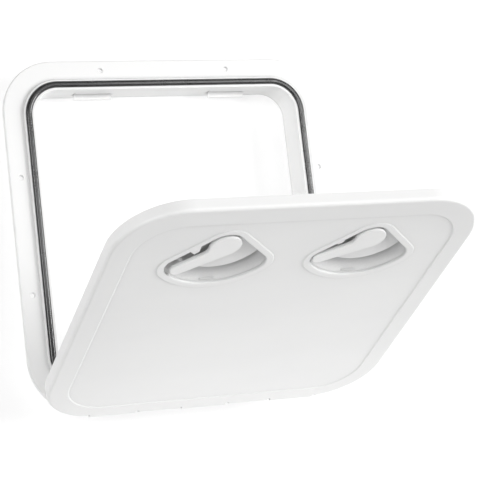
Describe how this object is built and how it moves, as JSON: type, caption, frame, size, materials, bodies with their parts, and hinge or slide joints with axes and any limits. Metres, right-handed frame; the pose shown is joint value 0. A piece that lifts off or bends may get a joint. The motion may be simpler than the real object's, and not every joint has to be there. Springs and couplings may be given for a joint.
{
  "type": "deck hatch",
  "caption": "Deck access hatch: a flanged frame with a seal and a hinged lid that turning handles close with cams under ledges.",
  "frame": {"origin": "centre of the cut-out in the deck plane, which is the underside of the flange", "axes": "+Z out of the deck, +Y towards the latch side, the hinge along X at the -Y side"},
  "size_m": [0.37, 0.3811, 0.3832],
  "materials": {
    "frame_plastic": "fine satin white, moulded",
    "lid_plastic": "fine satin white, moulded, with a very fine grain",
    "handle_plastic": "smooth satin white, moulded",
    "gasket_rubber": "black extruded rubber with a slight sheen",
    "seal_rubber": "black nitrile",
    "pin_steel": "drawn stainless rod",
    "bush_plastic": "natural acetal",
    "cam_plastic": "glass-filled nylon, off-white",
    "screw_steel": "stainless steel"
  },
  "bodies": {
    "base": {"frame": "frame_plastic", "gasket": "gasket_rubber", "hinge_pin_1": "pin_steel", "hinge_pin_2": "pin_steel", "hinge_pin_3": "pin_steel"},
    "lid": {"lid": "lid_plastic", "spindle_bush_left": "bush_plastic", "thrust_washer_left": "bush_plastic", "spindle_bush_right": "bush_plastic", "thrust_washer_right": "bush_plastic"},
    "latch_left": {"handle_left": "handle_plastic", "o_ring_left": "seal_rubber", "cam_left": "cam_plastic", "cam_washer_left": "screw_steel", "cam_screw_left": "screw_steel"},
    "latch_right": {"handle_right": "handle_plastic", "o_ring_right": "seal_rubber", "cam_right": "cam_plastic", "cam_washer_right": "screw_steel", "cam_screw_right": "screw_steel"}
  },
  "joints": [
    {"name": "lid_hinge", "type": "hinge", "parent": "base", "child": "lid", "pos_m": [0, -0.1825, 0.0094], "axis": [1, 0, 0], "range_deg": [-66.3, 28]},
    {"name": "handle_turn_left", "type": "hinge", "parent": "lid", "child": "latch_left", "pos_m": [-0.0737, -0.05794, 0.29316], "axis": [0, -0.9157, 0.4019], "range_deg": [-9, 81]},
    {"name": "handle_turn_right", "type": "hinge", "parent": "lid", "child": "latch_right", "pos_m": [0.0737, -0.05794, 0.29316], "axis": [0, -0.9157, 0.4019], "range_deg": [0, 90]}
  ]
}
